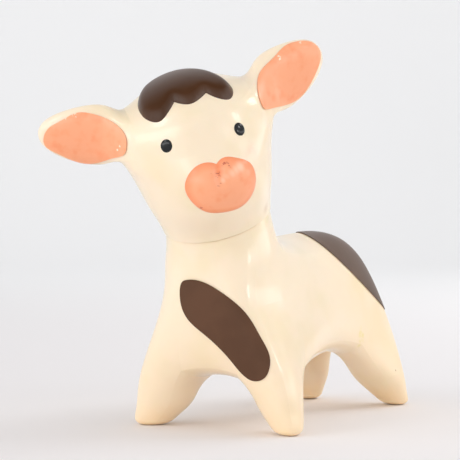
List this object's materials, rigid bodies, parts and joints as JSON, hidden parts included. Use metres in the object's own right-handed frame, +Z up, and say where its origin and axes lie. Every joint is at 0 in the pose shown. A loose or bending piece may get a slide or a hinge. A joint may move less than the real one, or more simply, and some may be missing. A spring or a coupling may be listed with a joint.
{
  "type": "calf figurine",
  "caption": "Hollow soft-vinyl calf figurine standing on splayed legs, with leaf ears, painted spots and face, and a head that turns on the neck.",
  "frame": {"origin": "middle of the bounding box, on the surface that the figurine stands on", "axes": "+Z up; the body faces -Y and its left side is +X; the head is stored turned to the body's left"},
  "size_m": [0.0642, 0.1272, 0.1105],
  "materials": {
    "cream_vinyl": "glossy soft vinyl",
    "brown_paint": "satin vinyl paint",
    "peach_paint": "satin vinyl paint",
    "black_paint": "glossy vinyl paint"
  },
  "bodies": {
    "body": {"body_shell": "cream_vinyl", "chest_spot_coat": "brown_paint", "rump_patch_coat": "brown_paint"},
    "head": {"head_shell": "cream_vinyl", "hair_cap": "brown_paint", "muzzle_coat": "peach_paint", "left_ear_coat": "peach_paint", "right_ear_coat": "peach_paint", "left_eye_coat": "black_paint", "right_eye_coat": "black_paint"}
  },
  "joints": [
    {"name": "neck_swivel", "type": "hinge", "parent": "body", "child": "head", "pos_m": [0.00494, -0.02717, 0.0601], "axis": [0, -0.4384, 0.8988], "continuous": true}
  ]
}
